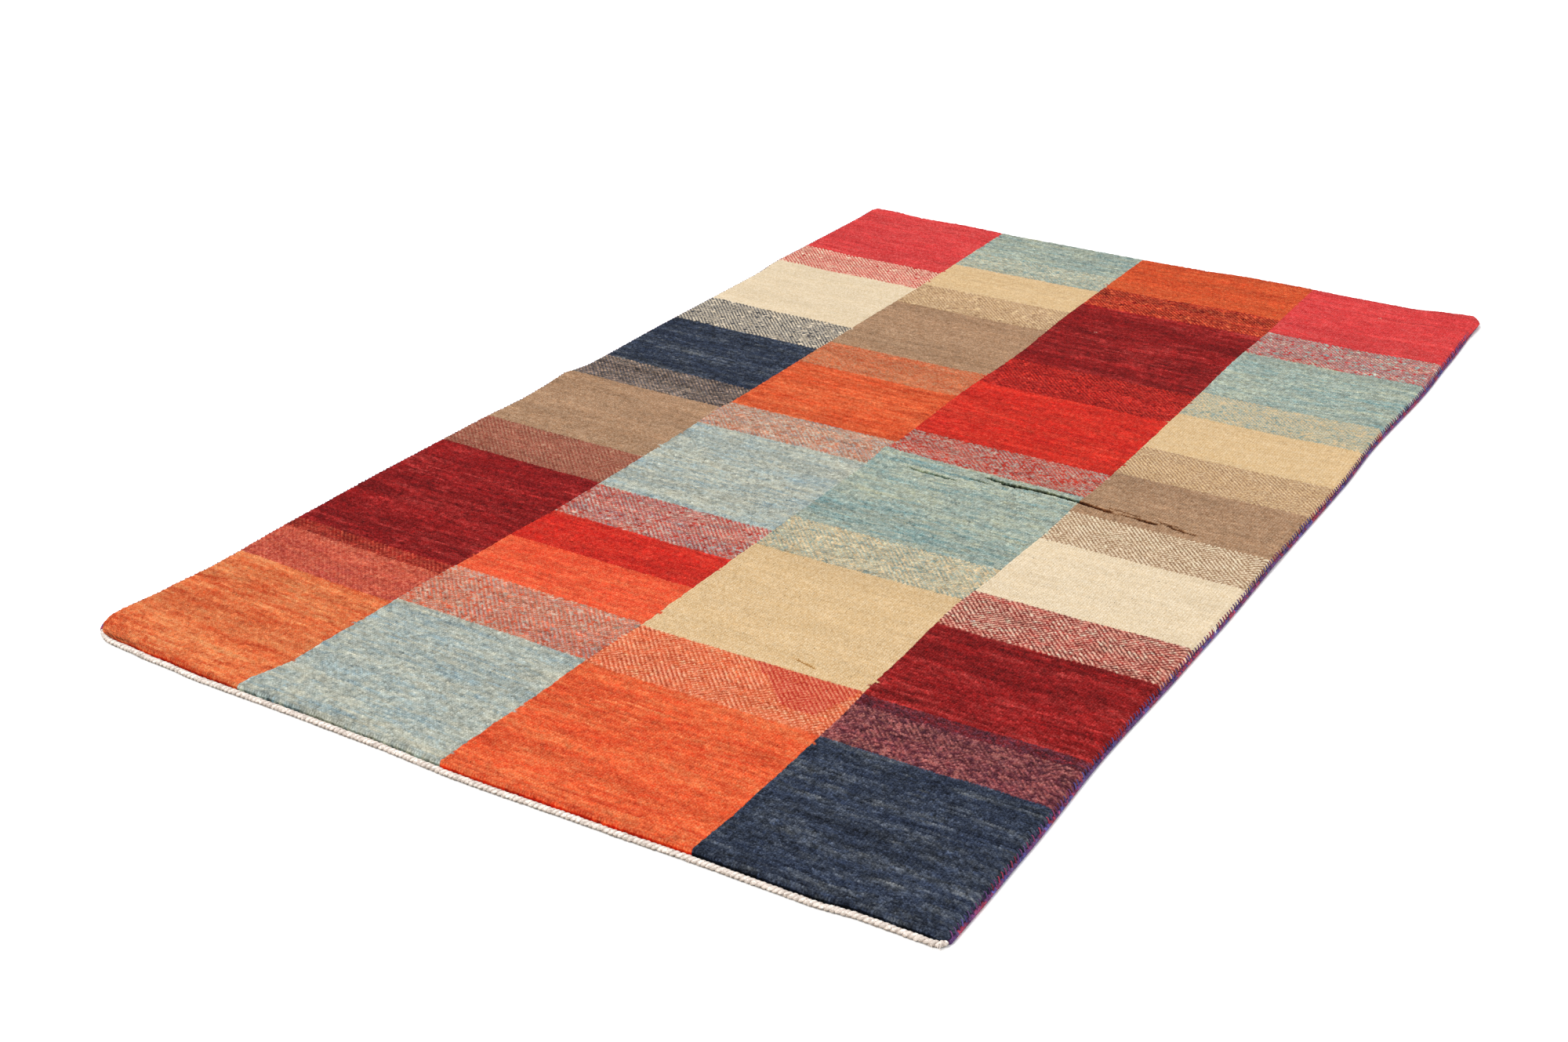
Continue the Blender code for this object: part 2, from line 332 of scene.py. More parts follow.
# The attribute tuft, which is 1 at tips and 0 between them: how much lower it is in a
# slit, along the near rim, and at the foot of the pile's walls. Lower values sink the bump
# and paint shade into the colour: near to black in the slits, and a dark line along the near
# rim and at the walls' foot, which is painted shade and partly the roots' deeper colour
SLIT_VALUE = 2
SLIT_POWER = 0.8
SLIT_TIP_VALUE = 3
NEAR_RIM_DEPTH = 0.25
FOOT_VALUE = -0.15
NEAR_FOOT_VALUE = -0.5

# How the pile's walls face, out and up
WALL_OUT = 0.92
WALL_UP = 0.4

# Hidden lattices: the steps of the pile's foot, finer rows at the fold, how many rows
# and knots one face of the rug's back takes in, and the steps of the foundation's top
FOOT_ROWS = 24
FOOT_KNOTS = 10
FOLD_ROWS = (252, 258, 270, 276)
BACK_STEP = (4, 2)
TOP_ROWS = 6
TOP_KNOTS = 8
FOOT_COLOUR = (200, 190, 176)
WARP_COLOUR = (214, 204, 188)

# The back's colours, duller by a factor and a shift
BACK_DULL = (0.9, 12)

# The foundation in its map, from where and how high, as shares: its back, its four rims
# one above the other, which also say how far apart they start, and its top
BACK_BAND = (0.01, 0.9)
RIM_BAND = (0.92, 0.005, 0.008)
TOP_BAND = (0.96, 0.035)
BAND_MARGIN = 0.01

CAMERA_PLACE = (0.94755, -1.80345, 0.9146)
CAMERA_AZIMUTH = math.radians(31.0192)
CAMERA_ELEVATION = math.radians(25.982)
CAMERA_ROLL = math.radians(0.2597)
FOCAL_PIXELS = 2674.84
IMAGE_WIDTH = 2000
SENSOR_WIDTH = 36.0

# The lamp's strength, size and turn, in a room of even white light
LAMP_STRENGTH = 2.15
LAMP_ANGLE = math.radians(35)
LAMP_TURN = (math.radians(32), math.radians(-18), 0)

# The white floor: half its width, how far it lies under the rug, and its finish
FLOOR_HALF = 30.0
FLOOR_DROP = 0.0002
FLOOR_COLOUR = (0.93, 0.93, 0.93, 1.0)
FLOOR_ROUGHNESS = 0.9


def smooth_table(rows, where, column=1):
    """Read a table of millimetres at places in metres, easing between its rows."""
    table = np.array(rows, float)
    place = np.clip(np.asarray(where) / MM, table[0, 0], table[-1, 0])
    low = np.clip(np.searchsorted(table[:, 0], place, side="right") - 1, 0, len(table) - 2)
    share = (place - table[low, 0]) / (table[low + 1, 0] - table[low, 0])
    ease = share * share * (3 - 2 * share)
    return (table[low, column] + (table[low + 1, column] - table[low, column]) * ease) * MM


def reach(rows):
    """How far an edge bulges past its mean line."""
    return max(row[1] for row in rows) * MM


LEFT_LINE = -WIDTH / 2 + (reach(LEFT_SIDE) - reach(RIGHT_SIDE)) / 2
NEAR_LINE = -LENGTH / 2 + (reach(NEAR_END) - reach(FAR_END)) / 2
RIGHT_LINE = LEFT_LINE + WIDTH
FAR_LINE = NEAR_LINE + LENGTH
SIDE_INSET = SELVEDGE_DIAMETER + GAP
END_INSET = END_CORD_DIAMETER + GAP


def field_left(y):
    """The pile's left edge at places along the rug."""
    return LEFT_LINE - smooth_table(LEFT_SIDE, y - NEAR_LINE) + SIDE_INSET


def field_right(y):
    """The pile's right edge at places along the rug."""
    return RIGHT_LINE + smooth_table(RIGHT_SIDE, y - NEAR_LINE) - SIDE_INSET


def field_near(x):
    """The pile's near edge at places across the rug."""
    return NEAR_LINE - smooth_table(NEAR_END, x - LEFT_LINE) + END_INSET


def field_far(x):
    """The pile's far edge at places across the rug."""
    return FAR_LINE + smooth_table(FAR_END, x - LEFT_LINE) - END_INSET


def corner_shift(x, y):
    """Sideways shift of points of the field where a corner is rounded."""
    shift = np.zeros_like(x)
    for (end, side), radius in CORNER_RADIUS.items():
        depth = y - field_near(x) if end == "near" else field_far(x) - y
        across = x - field_left(y) if side == "left" else field_right(y) - x
        short = np.clip(radius - np.maximum(0.0, depth), 0.0, radius)
        inward = radius - np.sqrt(radius ** 2 - short ** 2)
        fade = np.maximum(0.0, 1.0 - across / (SQUEEZE_RADII * radius))
        shift += inward * fade ** 2 * (1 if side == "left" else -1)
    return shift


def fold_line(x):
    """Where the cross fold's crest lies at places across the rug."""
    return (NEAR_LINE + FAR_LINE) / 2 + smooth_table(CROSS_FOLD, x - LEFT_LINE)


def crest(distance, run):
    """Profile of a pressed fold: 1 at its crest, easing to 0 at its foot."""
    return np.maximum(0.0, 1.0 - np.abs(distance) / run) ** 2


def lift(x, y):
    """How far the folds raise the rug off the floor."""
    past = y - fold_line(x)
    run = np.where(past < 0, FOLD_NEAR_RUN, FOLD_FAR_RUN)
    across = smooth_table(CROSS_FOLD, x - LEFT_LINE, 2) * crest(past, run)
    from_long_fold = x - (LEFT_LINE + LONG_FOLD_AT * WIDTH)
    ends = np.minimum(y - NEAR_LINE, FAR_LINE - y) / LENGTH
    lengthwise = LONG_FOLD_LIFT * crest(from_long_fold, LONG_FOLD_RUN) * np.minimum(1.0, 6 * ends)
    return np.maximum(across, lengthwise)


def field_point(across, along):
    """Places in the plan of points given by their shares of width and length.

    The rows of knots run straight between the ends, whose wander dies away.
    """
    x = LEFT_LINE + across * WIDTH
    y = NEAR_LINE + along * LENGTH
    near, far = NEAR_LINE + END_INSET, FAR_LINE - END_INSET
    for _ in range(3):
        near_wander = (field_near(x) - near) * (1 - along) ** 3
        far_wander = (field_far(x) - far) * along ** 3
        y = near + along * (far - near) + near_wander + far_wander
        x = field_left(y) + across * (field_right(y) - field_left(y))
    return x + corner_shift(x, y), y


def cell_noise(rng, rows, columns, row_cell, column_cell):
    """Smooth noise over a grid, from -1 to 1, with cells of this many points."""
    def places(count, cell):
        where = np.arange(count) / cell
        low = where.astype(int)
        share = where - low
        return low, share * share * (3 - 2 * share)

    row, row_share = places(rows, row_cell)
    column, column_share = places(columns, column_cell)
    grid = rng.uniform(-1, 1, (row[-1] + 2, column[-1] + 2))
    low = grid[row][:, column] * (1 - column_share) + grid[row][:, column + 1] * column_share
    high = (
        grid[row + 1][:, column] * (1 - column_share)
        + grid[row + 1][:, column + 1] * column_share
    )
    return low + (high - low) * row_share[:, None]


def to_linear(screen):
    """Linear light from screen colours of 0 to 255."""
    share = np.clip(np.asarray(screen, float) / 255, 0, 1)
    return np.where(share <= 0.04045, share / 12.92, ((share + 0.055) / 1.055) ** 2.4)


def wool_colours(name, drift):
    """Screen colours of one wool, drifting to its deep or pale shade."""
    usual, deep, pale = (np.array(shade, float) for shade in WOOLS[name][:3])
    amount = np.clip(drift * WOOLS[name][3], *DRIFT_LIMITS)[..., None]
    return usual + np.maximum(0, -amount) * (deep - usual) + np.maximum(0, amount) * (pale - usual)


def knot_colours():
    """The screen colour of every knot, by row and knot across."""
    rng = np.random.default_rng(COLOUR_SEED)
    shape = (ROWS, KNOTS_ACROSS)
    knot = np.arange(KNOTS_ACROSS)[None, :]

    # The columns lock into each other by a knot here and there
    wander = rng.choice((0, 1, -1), (3, ROWS), p=INTERLOCK)
    owner = np.zeros(shape, int)
    for line, start in enumerate(BLOCK_STARTS[1:-1]):
        owner += knot >= (start + wander[line])[:, None]

    def noise(cells):
        """Noise of several sizes that breaks off between the columns."""
        return sum(
            np.choose(owner, [cell_noise(rng, *shape, rows, knots) for _ in BLOCKS]) * strength
            for rows, knots, strength in cells
        )

    streak = noise(STREAK_CELLS)
    cloud = noise(CLOUD_CELLS)
    tone = noise(TONE_CELLS)
    dash = np.maximum(0, noise(DASH_CELLS) - DASH_START)
    drift = streak + cloud + rng.normal(0, DRIFT_SCATTER, shape)
    other_drift = cloud * OTHER_CLOUD + rng.normal(0, OTHER_SCATTER, shape) + noise(OTHER_CELLS)
    checks = np.indices(shape).sum(0) % 2 * 2 - 1
    ragged = rng.uniform(0, 1, shape)
    swapped = rng.choice((-1, 1), shape)
    grain = rng.normal(0, 1, shape)

    colours = np.zeros((*shape, 3))
    for column, blocks in enumerate(BLOCKS):
        first = 0
        for last, name, *band in blocks:
            rows = slice(first, last)
            mine = owner[rows] == column
            dashes, by_knot, in_patches = WOOLS[name][4:]
            wool = wool_colours(name, drift[rows] - dashes * dash[rows])
            if band:
                other, share, apart, unrest = band
                second = wool_colours(other, other_drift[rows])
                side = np.where(ragged[rows] < unrest, swapped[rows], checks[rows])
                mean = wool * share + second * (1 - share)
                contrast = wool - second
                lightness = (contrast @ LUMINANCE)[..., None]
                contrast = lightness + (contrast - lightness) * DYE_CONTRAST
                wool = mean + contrast * (side * apart / 2)[..., None]
            light = 1 + by_knot * grain[rows] + in_patches * tone[rows]
            colours[rows][mine] = (wool * light[..., None])[mine]
            first = last

    add_patch(colours, drift, checks)
    for row, knot in NEPS:
        colours[row, knot] = NEP_COLOUR
    return np.clip(colours, *COLOUR_LIMITS)


def add_patch(colours, drift, checks):
    """Lay the redder patch over the third column's first band."""
    low, high = PATCH_ROWS
    for row in range(low, high):
        share = (row - low) / (high - low)
        across = slice(*(
            int(BLOCK_STARTS[2] + bottom + (top - bottom) * share)
            for bottom, top in (PATCH_LEFT, PATCH_RIGHT)
        ))
        red, coral = (
            wool_colours(name, drift[row, across]) * depth for name, depth in PATCH_WOOLS
        )
        colours[row, across] = np.where(checks[row, across, None] > 0, red, coral)


def knot_lattice():
    """Places of the knots' corners in the plan, by row line and warp line."""
    along = np.linspace(0, 1, ROWS + 1)[:, None] + np.zeros((1, KNOTS_ACROSS + 1))
    y = NEAR_LINE + along[:, 0] * LENGTH
    left = field_left(y)
    width = field_right(y) - left
    inner = [(LEFT_LINE + smooth_table(line, y - NEAR_LINE) - left) / width for line in BLOCK_LINES]
    edges = [np.zeros_like(y), *inner, np.ones_like(y)]
    across = np.zeros_like(along)
    for k, (start, end) in enumerate(zip(BLOCK_STARTS, BLOCK_STARTS[1:])):
        share = np.linspace(0, 1, end - start + 1)[None, :]
        across[:, start:end + 1] = edges[k][:, None] * (1 - share) + edges[k + 1][:, None] * share
    return field_point(across, along)


def slits(x, y):
    """Where the pile parts: how deep at lines and at tufts, the lips, how far apart."""
    lines, lip, push = np.zeros_like(x), np.zeros_like(x), np.zeros_like(x)
    tufts = np.zeros((ROWS, KNOTS_ACROSS))
    row_place = np.arange(ROWS + 1)
    for points in SLITS:
        table = np.array(points) * MM
        row_before = {}
        for knot in range(KNOTS_ACROSS):
            where = x[ROWS // 2, knot] - LEFT_LINE
            if not table[0, 0] < where < table[-1, 0]:
                continue
            depth = np.interp(where, table[:, 0], table[:, 2])
            past = y[:, knot] - np.interp(where, table[:, 0], table[:, 1])
            row = np.abs(past).argmin()
            lines[row, knot] = depth
            tufts[row - 1:row + 1, knot] += SLIT_SIDES * depth
            if knot - 1 in row_before and row_before[knot - 1] != row:
                tufts[min(row, row_before[knot - 1]), knot - 1] = depth
            row_before[knot] = row
            push[:, knot] -= past[row] * np.exp(-np.abs(row_place - row) / SLIT_JOIN_ROWS)
            from_middle = past - past[row]
            beside = np.exp(-np.abs(from_middle) / SLIT_FADE) * depth * np.sign(from_middle)
            push[:, knot] += beside * SLIT_SPREAD
            lip[:, knot] += np.maximum(beside * FAR_LIP, -beside * NEAR_LIP)
    return lines, tufts, lip, push


def tent(x, y):
    """The small tent of pile where the two folds cross."""
    across, along, height, wide, long = (value * MM for value in TENT)
    apart = ((x - LEFT_LINE - across) / wide) ** 2 + ((y - along) / long) ** 2
    return height * np.exp(-apart)


def fan_out(x, y):
    """How far the clipped pile leans out over the edges, most of all at two corners."""
    row, knot = np.indices(x.shape)
    away = {
        "left": knot * KNOT_WIDTH,
        "right": (KNOTS_ACROSS - knot) * KNOT_WIDTH,
        "near": row * KNOT_LENGTH,
        "far": (ROWS - row) * KNOT_LENGTH,
    }
    lean = {side: FLARE[side] * MM * np.exp(-away[side] / LEAN_FADE) for side in away}
    for side, end, amount, spread in LEANS:
        place_x = RIGHT_LINE if side == "right" else LEFT_LINE
        place_y = FAR_LINE if end == "far" else NEAR_LINE
        near_corner = np.exp(-((x - place_x) ** 2 + (y - place_y) ** 2) / (spread * MM) ** 2)
        for edge, part in ((side, SIDE_LEAN), (end, 1)):
            lean[edge] += part * amount * MM * near_corner * np.exp(-away[edge] / LEAN_FADE)
    return lean["right"] - lean["left"], lean["far"] - lean["near"]


def rim_fall(inside):
    """How much lower the clipped pile is towards its rim."""
    left = np.maximum(0.0, 1.0 - inside / RIM_RUN)
    return RIM_DROP * left ** 2


class Form:
    """Gathers the points and faces of a mesh, with what each corner of a face wears."""

    def __init__(self):
        self.points = []
        self.count = 0
        self.sizes = []
        self.corners = []
        self.colours = []
        self.maps = []
        self.normals = []

    def add_points(self, points):
        self.points.append(np.asarray(points, float).reshape(-1, 3))
        start = self.count
        self.count += len(self.points[-1])
        return start

    def add_faces(self, faces, colours, places, normals):
        """Faces of one size: corner points, colours, and map places and normals by corner."""
        faces = np.asarray(faces, int)
        self.sizes.append(np.full(len(faces), faces.shape[1]))
        self.corners.append(faces.ravel())
        colours = np.asarray(colours, float)
        if colours.ndim == 2:
            colours = colours[:, None]
        self.colours.append(np.broadcast_to(colours, (*faces.shape, 3)).reshape(-1, 3))
        self.maps.append(np.asarray(places, float).reshape(-1, 2))
        self.normals.append(np.broadcast_to(normals, (*faces.shape, 3)).reshape(-1, 3))

    def make(self, name, material, values=None):
        """The finished object."""
        mesh = bpy.data.meshes.new(name)
        points = np.concatenate(self.points)
        corners = np.concatenate(self.corners)
        sizes = np.concatenate(self.sizes)
        mesh.vertices.add(len(points))
        mesh.vertices.foreach_set("co", points.astype(np.float32).ravel())
        mesh.loops.add(len(corners))
        mesh.loops.foreach_set("vertex_index", corners.astype(np.int32))
        mesh.polygons.add(len(sizes))
        starts = np.concatenate(((0,), np.cumsum(sizes)[:-1]))
        mesh.polygons.foreach_set("loop_start", starts.astype(np.int32))
        mesh.update(calc_edges=True)
        mesh.polygons.foreach_set("use_smooth", np.ones(len(sizes), bool))

        colours = np.concatenate(self.colours)
        wool = mesh.attributes.new("wool", "FLOAT_COLOR", "CORNER")
        filled = np.concatenate((to_linear(colours) / BRIGHTNESS, np.ones((len(colours), 1))), 1)
        wool.data.foreach_set("color", filled.astype(np.float32).ravel())
        if values is not None:
            tuft = mesh.attributes.new("tuft", "FLOAT", "POINT")
            tuft.data.foreach_set("value", np.asarray(values, np.float32))
        layer = mesh.uv_layers.new(name="OFBake")
        layer.uv.foreach_set("vector", np.concatenate(self.maps).astype(np.float32).ravel())
        mesh.materials.append(material)
        normals = np.concatenate(self.normals)
        if np.isfinite(normals).all():
            normals = normals / np.linalg.norm(normals, axis=1, keepdims=True)
            mesh.normals_split_custom_set(normals)
        thing = bpy.data.objects.new(name, mesh)
        bpy.context.scene.collection.objects.link(thing)
        return thing


def covering_cells(row_breaks, column_breaks, index, facing):
    """Faces that close a lattice with few cells, though its rim has every point."""
    last_row, last_column = row_breaks[-1], column_breaks[-1]
    for low, high in zip(row_breaks, row_breaks[1:]):
        for left, right in zip(column_breaks, column_breaks[1:]):
            rows = range(low, high + 1)
            columns = range(left, right + 1)
            up = rows if left == 0 else (low, high)
            across = columns if high == last_row else (left, right)
            down = rows if right == last_column else (low, high)
            back = columns if low == 0 else (left, right)
            walk = [(row, left) for row in up] + [(high, column) for column in across]
            walk += [(row, right) for row in reversed(down)]
            walk += [(low, column) for column in reversed(back)]
            ring = [place for k, place in enumerate(walk) if place != walk[k - 1]]
            if facing > 0:
                ring = ring[::-1]
            yield [index[place] for place in ring], ring


def covering_points(row_breaks, column_breaks, first):
    """Which points of a lattice its covering needs, and their numbers from the first."""
    used = np.zeros((row_breaks[-1] + 1, column_breaks[-1] + 1), bool)
    used[[0, -1], :] = True
    used[:, [0, -1]] = True
    used[np.ix_(row_breaks, column_breaks)] = True
    index = np.full(used.shape, -1)
    index[used] = first + np.arange(used.sum())
    return used, index


def inset(share, margin):
    """A share of a map's width or height, kept this far inside its edges."""
    return margin + (1 - 2 * margin) * share


def lattice_breaks(count, step, fine=()):
    """Places from 0 to count, about a step apart, with the fine ones among them."""
    places = {round(count * k / round(count / step)) for k in range(round(count / step) + 1)}
    return sorted(places | set(fine))


# Which of two diagonal pairs of tufts closes up where four knots meet, from 0 to 1:
# the middle, how far it swings over cells of this many knots, and its scatter
JOIN_BIAS = 0.4
JOIN_SWING = 0.5
JOIN_CELL = 6
JOIN_SCATTER = 0.15

# How a column of pile lies in its map: runs of rows side by side, in pixels. Then
# the margins of a tube's runs and the size of its caps, as shares.
MAP_SIZE = 1024
MAP_RUNS = 3
MAP_MARGIN = 5
MAP_WALL = 3
MAP_EDGE = 4
MAP_UNDERSIDE = 56
TUBE_MARGIN = 0.004
TUBE_SEAM = 0.04
TUBE_CAP = 0.02


def joined_colours(colours, rng):
    """Colours where four knots meet: the tufts of one diagonal close up, or the other's."""
    padded = np.pad(colours, ((0, 1), (1, 1), (0, 0)), "edge")
    shape = (padded.shape[0], padded.shape[1] - 1)
    swing = JOIN_SWING * cell_noise(rng, *shape, JOIN_CELL, JOIN_CELL)
    share = np.clip(JOIN_BIAS + swing + rng.normal(0, JOIN_SCATTER, shape), 0, 1)[..., None]
    return padded[:, :-1] * (1 - share) + padded[:, 1:] * share


def pile_surface(x, y, ground, rng):
    """Corners, tips and feet of the tufts: points, normals, and values of tuft."""
    row_place = np.arange(ROWS + 1)[:, None]
    knot_place = np.arange(KNOTS_ACROSS + 1)[None, :]
    inside = np.minimum(
        np.minimum(knot_place, KNOTS_ACROSS - knot_place) * KNOT_WIDTH,
        np.minimum(row_place, ROWS - row_place) * KNOT_LENGTH,
    )
    waves = sum(cell_noise(rng, *x.shape, rows, knots) * high for rows, knots, high in WAVES)
    lines, tufts, lip, push = slits(x, y)
    face = ground + THICKNESS + waves * np.minimum(1, inside / CALM_RIM) + lip + tent(x, y)
    from_right = (KNOTS_ACROSS - knot_place) * KNOT_WIDTH
    worn = RIGHT_WEAR * np.maximum(0, 1 - from_right / RIM_RUN) ** 2
    top = face - rim_fall(inside) - worn
    lean_x, lean_y = fan_out(x, y)

    # Gentle slopes without the rim's give the normals, and the tufts' relief is bump
    slope_y = np.gradient(face, axis=0) / KNOT_LENGTH
    slope_x = np.gradient(face, axis=1) / KNOT_WIDTH
    normal = np.stack((-slope_x, -slope_y, np.ones(x.shape)), -1)
    tip_normal = (normal[:-1, :-1] + normal[1:, 1:]) / 2

    dip = TUFT_DIP * np.clip(inside / RIM_RUN, LEAST_DIP, 1)
    corner = np.stack((x + lean_x, y + lean_y + push, top - dip), -1)
    corner += rng.normal(0, CORNER_SCATTER, corner.shape)
    middle = (corner[:-1, :-1] + corner[:-1, 1:] + corner[1:, :-1] + corner[1:, 1:]) / 4
    tip = middle + np.array((0.0, 0.0, TUFT_DIP))
    tip += rng.normal(0, 1, tip.shape) * TIP_SCATTER
    tip[..., 2] -= tufts
    corner[..., 2] -= lines
    # Painted shade: lower values of tuft darken the colour in the slits and along the near rim
    corner_value = -SLIT_VALUE * (lines / DEEPEST_SLIT) ** SLIT_POWER
    corner_value[0] -= NEAR_RIM_DEPTH
    tip_value = 1 - SLIT_TIP_VALUE * np.sqrt(tufts / DEEPEST_SLIT)

    foot_x = x + np.clip(lean_x, -FOOT_LEAN_LIMIT, FOOT_LEAN_LIMIT) * (inside == 0)
    foot = np.stack((foot_x, y, ground + PILE_FOOT), -1)
    return (corner, normal, corner_value), (tip, tip_normal, tip_value), foot


def column_map(wide):
    """A function that places the corners of a column's knots in its map."""
    run_rows = ROWS // MAP_RUNS
    run_width = (MAP_SIZE - MAP_UNDERSIDE) / MAP_RUNS
    across_step = (run_width - 2 * MAP_MARGIN) / wide
    along_step = (MAP_SIZE - 2 * MAP_MARGIN) / run_rows

    def place(row, knot, of_row, out=(0, 0)):
        run = np.minimum(of_row // run_rows, MAP_RUNS - 1)
        u = run * run_width + MAP_MARGIN + knot * across_step + out[0]
        v = MAP_MARGIN + (row - run * run_rows) * along_step + out[1]
        return np.stack(np.broadcast_arrays(u / MAP_SIZE, v / MAP_SIZE), -1)

    return place


def add_tufts(form, place, first_tip, normals, tip_normals, paint, between):
    """Four faces for each knot, from the lines between its corners up to its tip."""
    wide = paint.shape[1]
    row, knot = (a.ravel() for a in np.indices(paint.shape[:2]))
    summit = first_tip + row * wide + knot
    normals, tip_normals, paint, between = (
        a.reshape(-1, 3) for a in (normals, tip_normals, paint, between)
    )
    steps = ((0, 0), (0, 1), (1, 1), (1, 0))
    for a, b in zip(steps, steps[1:] + steps[:1]):
        first, second = ((row + c[0]) * (wide + 1) + knot + c[1] for c in (a, b))
        places = [place(row + c[0], knot + c[1], row) for c in (a, b, (0.5, 0.5))]
        form.add_faces(
            np.stack((first, second, summit), 1),
            np.stack((between[first], between[second], paint), 1),
            np.stack(places, 1),
            np.stack((normals[first], normals[second], tip_normals), 1),
        )


def add_foot(form, place, foot, paint):
    """Walls and underside of a column of pile, and the values of tuft at their points."""
    wide = paint.shape[1]
    row_breaks = lattice_breaks(ROWS, FOOT_ROWS, FOLD_ROWS)
    knot_breaks = lattice_breaks(wide, FOOT_KNOTS)
    used, index = covering_points(row_breaks, knot_breaks, form.count)
    form.add_points(foot[used])
    # Values of tuft at the walls' foot, which paint shade there, darker along the near end
    value = np.full(index.shape, FOOT_VALUE)
    value[0] = NEAR_FOOT_VALUE

    def add_wall(low, high, of_row, wears, across, along):
        """A wall that faces across or along, between the places low and high."""
        faces = [index[low], index[high]]
        faces += [row * (wide + 1) + knot for row, knot in (high, low)]
        out = (MAP_WALL * across, MAP_WALL * along)
        places = [place(*low, of_row, out), place(*high, of_row, out)]
        places += [place(*high, of_row), place(*low, of_row)]
        facing = (WALL_OUT * across, WALL_OUT * along, WALL_UP)
        form.add_faces(np.stack(faces, 1), wears, np.stack(places, 1), facing)

    rows, knots = np.arange(ROWS), np.arange(wide)
    for line, turn in ((0, -1), (wide, 1)):
        low, high = (rows, rows + 1) if turn > 0 else (rows + 1, rows)
        add_wall((low, line), (high, line), rows, paint[:, min(line, wide - 1)], turn, 0)
    for line, turn in ((0, -1), (ROWS, 1)):
        low, high = (knots, knots + 1) if turn < 0 else (knots + 1, knots)
        last = min(line, ROWS - 1)
        add_wall((line, low), (line, high), np.full(wide, last), paint[last], 0, turn)

    for face, ring in covering_cells(row_breaks, knot_breaks, index, -1):
        lay = np.array(ring, float)
        underside = MAP_UNDERSIDE - 2 * MAP_EDGE
        from_right = MAP_UNDERSIDE - MAP_EDGE - lay[:, 1] / wide * underside
        places = np.stack((1 - from_right / MAP_SIZE, inset(lay[:, 0] / ROWS, TUBE_MARGIN)), 1)
        form.add_faces([face], FOOT_COLOUR, places, (0, 0, -1))
    return value[used]


def make_pile(x, y, ground, colours, material):
    """The four columns of tufts."""
    rng = np.random.default_rng(PILE_SEED)
    corners, tips, foot = pile_surface(x, y, ground, rng)
    pieces = []
    for column, (start, end) in enumerate(zip(BLOCK_STARTS, BLOCK_STARTS[1:])):
        corner, normal, corner_value = (a[:, start:end + 1] for a in corners)
        tip, tip_normal, tip_value = (a[:, start:end] for a in tips)
        paint = colours[:, start:end]
        place = column_map(end - start)
        form = Form()
        form.add_points(corner)
        first_tip = form.add_points(tip)
        between = joined_colours(paint, rng)
        add_tufts(form, place, first_tip, normal, tip_normal, paint, between)
        foot_value = add_foot(form, place, foot[:, start:end + 1], paint)
        values = np.concatenate([a.ravel() for a in (corner_value, tip_value, foot_value)])
        pieces.append(form.make(f"pile_column_{column + 1}", material, values))
    return pieces


def make_foundation(x, y, ground, colours, material):
    """The woven slab under the pile, whose underside shows the knots' backs."""
    row_step, knot_step = BACK_STEP
    rows, wide = ROWS // row_step, KNOTS_ACROSS // knot_step
    x, y, ground = (grid[::row_step, ::knot_step] for grid in (x, y, ground))
    form = Form()
    form.add_points(np.stack((x, y, ground), -1))
    row, knot = (a.ravel() for a in np.indices((rows, wide)))
    ring = ((0, 0), (1, 0), (1, 1), (0, 1))
    faces = np.stack([(row + a) * (wide + 1) + knot + b for a, b in ring], 1)
    places = [
        np.stack((
            inset((knot + b) / wide, BAND_MARGIN),
            BACK_BAND[0] + BACK_BAND[1] * (row + a) / rows,
        ), 1)
        for a, b in ring
    ]
    blocks = colours.reshape(rows, row_step, wide, knot_step, 3).mean((1, 3)).reshape(-1, 3)
    dull = blocks * BACK_DULL[0] + BACK_DULL[1]
    form.add_faces(faces, dull, np.stack(places, 1), (0, 0, -1))

    fold_rows = (FOLD_ROWS[0] // row_step, FOLD_ROWS[-1] // row_step)
    row_breaks = lattice_breaks(rows, TOP_ROWS, fold_rows)
    knot_breaks = lattice_breaks(wide, TOP_KNOTS)
    used, index = covering_points(row_breaks, knot_breaks, form.count)
    form.add_points(np.stack((x, y, ground + FOUNDATION_TOP), -1)[used])

    rims = (
        ([(k, 0) for k in range(rows, -1, -1)], (-1, 0, 0)),
        ([(k, wide) for k in range(rows + 1)], (1, 0, 0)),
        ([(0, k) for k in range(wide + 1)], (0, -1, 0)),
        ([(rows, k) for k in range(wide, -1, -1)], (0, 1, 0)),
    )
    for side, (walk, out) in enumerate(rims):
        base = RIM_BAND[0] + RIM_BAND[2] * side
        top = base + RIM_BAND[1]
        for k, (a, b) in enumerate(zip(walk, walk[1:])):
            low_a, low_b = (p[0] * (wide + 1) + p[1] for p in (a, b))
            left, right = (inset(step / len(walk), BAND_MARGIN) for step in (k, k + 1))
            places = ((left, base), (right, base), (right, top), (left, top))
            form.add_faces([[low_a, low_b, index[b], index[a]]], WARP_COLOUR, places, out)
    for face, ring in covering_cells(row_breaks, knot_breaks, index, 1):
        lay = np.array(ring, float)
        up = TOP_BAND[0] + TOP_BAND[1] * lay[:, 0] / rows
        places = np.stack((inset(lay[:, 1] / wide, BAND_MARGIN), up), 1)
        form.add_faces([face], WARP_COLOUR, places, (0, 0, 1))
    return form.make("foundation", material)


# Points that an outline's route is laid out with, and how many smooth its direction
ROUTE_POINTS = 12000
ROUTE_WINDOW = 61


